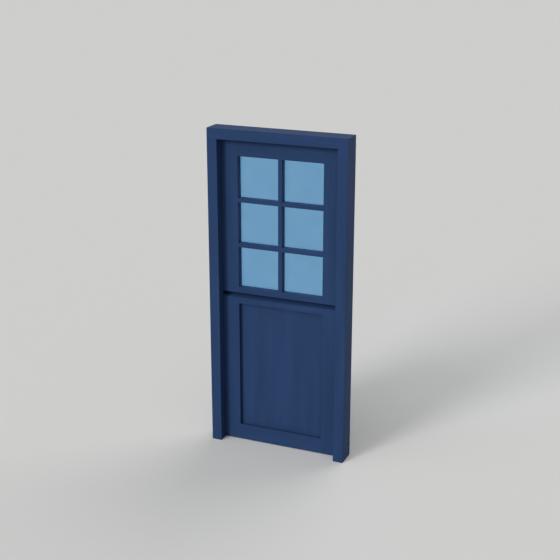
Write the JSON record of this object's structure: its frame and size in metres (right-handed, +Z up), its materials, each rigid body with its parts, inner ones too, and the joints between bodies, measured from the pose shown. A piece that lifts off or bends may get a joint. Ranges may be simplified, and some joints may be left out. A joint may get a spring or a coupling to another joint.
{
  "type": "dutch stable door with frame",
  "caption": "Painted timber dutch stable door in a rebated frame: glazed upper leaf and panelled lower leaf that swing alone on butt hinges or together when bolted",
  "frame": {"origin": "foot of the frame, on its outer face and its centre line", "axes": "X to the right seen from outside, Y from the outer face inwards, Z up"},
  "size_m": [0.924, 0.1614, 2.1],
  "materials": {
    "painted_timber": "satin paint",
    "glass": "polished, light blue",
    "seal_rubber": "matt",
    "hinge_steel": "satin",
    "bolt_iron": "black japanned",
    "bolt_steel": "satin"
  },
  "bodies": {
    "frame": {"frame_head": "painted_timber", "hinge_jamb": "painted_timber", "lock_jamb": "painted_timber", "head_seal": "seal_rubber", "hinge_jamb_seal": "seal_rubber", "lock_jamb_seal": "seal_rubber", "hinge_1_frame_flap": "hinge_steel", "hinge_2_frame_flap": "hinge_steel", "hinge_3_frame_flap": "hinge_steel", "hinge_4_frame_flap": "hinge_steel", "hinge_1_pin": "hinge_steel", "hinge_2_pin": "hinge_steel", "hinge_3_pin": "hinge_steel", "hinge_4_pin": "hinge_steel", "upper_bolt_keep": "bolt_iron", "lower_bolt_keep": "bolt_iron"},
    "upper_leaf": {"upper_hinge_stile": "painted_timber", "upper_lock_stile": "painted_timber", "upper_top_rail": "painted_timber", "upper_bottom_rail": "painted_timber", "upright_bar": "painted_timber", "lower_cross_bar": "painted_timber", "upper_cross_bar": "painted_timber", "pane_1": "glass", "pane_2": "glass", "pane_3": "glass", "pane_4": "glass", "pane_5": "glass", "pane_6": "glass", "pane_1_beads": "painted_timber", "pane_2_beads": "painted_timber", "pane_3_beads": "painted_timber", "pane_4_beads": "painted_timber", "pane_5_beads": "painted_timber", "pane_6_beads": "painted_timber", "meeting_seal": "seal_rubber", "hinge_3_leaf_flap": "hinge_steel", "hinge_4_leaf_flap": "hinge_steel", "upper_bolt_plate": "bolt_iron", "coupling_bolt_plate": "bolt_iron"},
    "lower_leaf": {"lower_hinge_stile": "painted_timber", "lower_lock_stile": "painted_timber", "lower_top_rail": "painted_timber", "lower_bottom_rail": "painted_timber", "lower_panel": "painted_timber", "bottom_seal": "seal_rubber", "hinge_1_leaf_flap": "hinge_steel", "hinge_2_leaf_flap": "hinge_steel", "lower_bolt_plate": "bolt_iron", "coupling_bolt_keep": "bolt_iron"},
    "upper_bolt": {"upper_bolt_rod": "bolt_steel"},
    "lower_bolt": {"lower_bolt_rod": "bolt_steel"},
    "coupling_bolt": {"coupling_bolt_rod": "bolt_steel"}
  },
  "joints": [
    {"name": "upper_leaf_swing", "type": "hinge", "parent": "frame", "child": "upper_leaf", "pos_m": [-0.4085, 0.1415, 1.539], "axis": [0, 0, 1], "range_deg": [0, 110]},
    {"name": "lower_leaf_swing", "type": "hinge", "parent": "frame", "child": "lower_leaf", "pos_m": [-0.4085, 0.1415, 0.502], "axis": [0, 0, 1], "range_deg": [0, 110]},
    {"name": "upper_bolt_slide", "type": "slide", "parent": "upper_leaf", "child": "upper_bolt", "axis": [1, 0, 0], "range_m": [0, 0.028]},
    {"name": "lower_bolt_slide", "type": "slide", "parent": "lower_leaf", "child": "lower_bolt", "axis": [1, 0, 0], "range_m": [0, 0.028]},
    {"name": "coupling_bolt_slide", "type": "slide", "parent": "upper_leaf", "child": "coupling_bolt", "axis": [0, 0, -1], "range_m": [0, 0.028]}
  ]
}
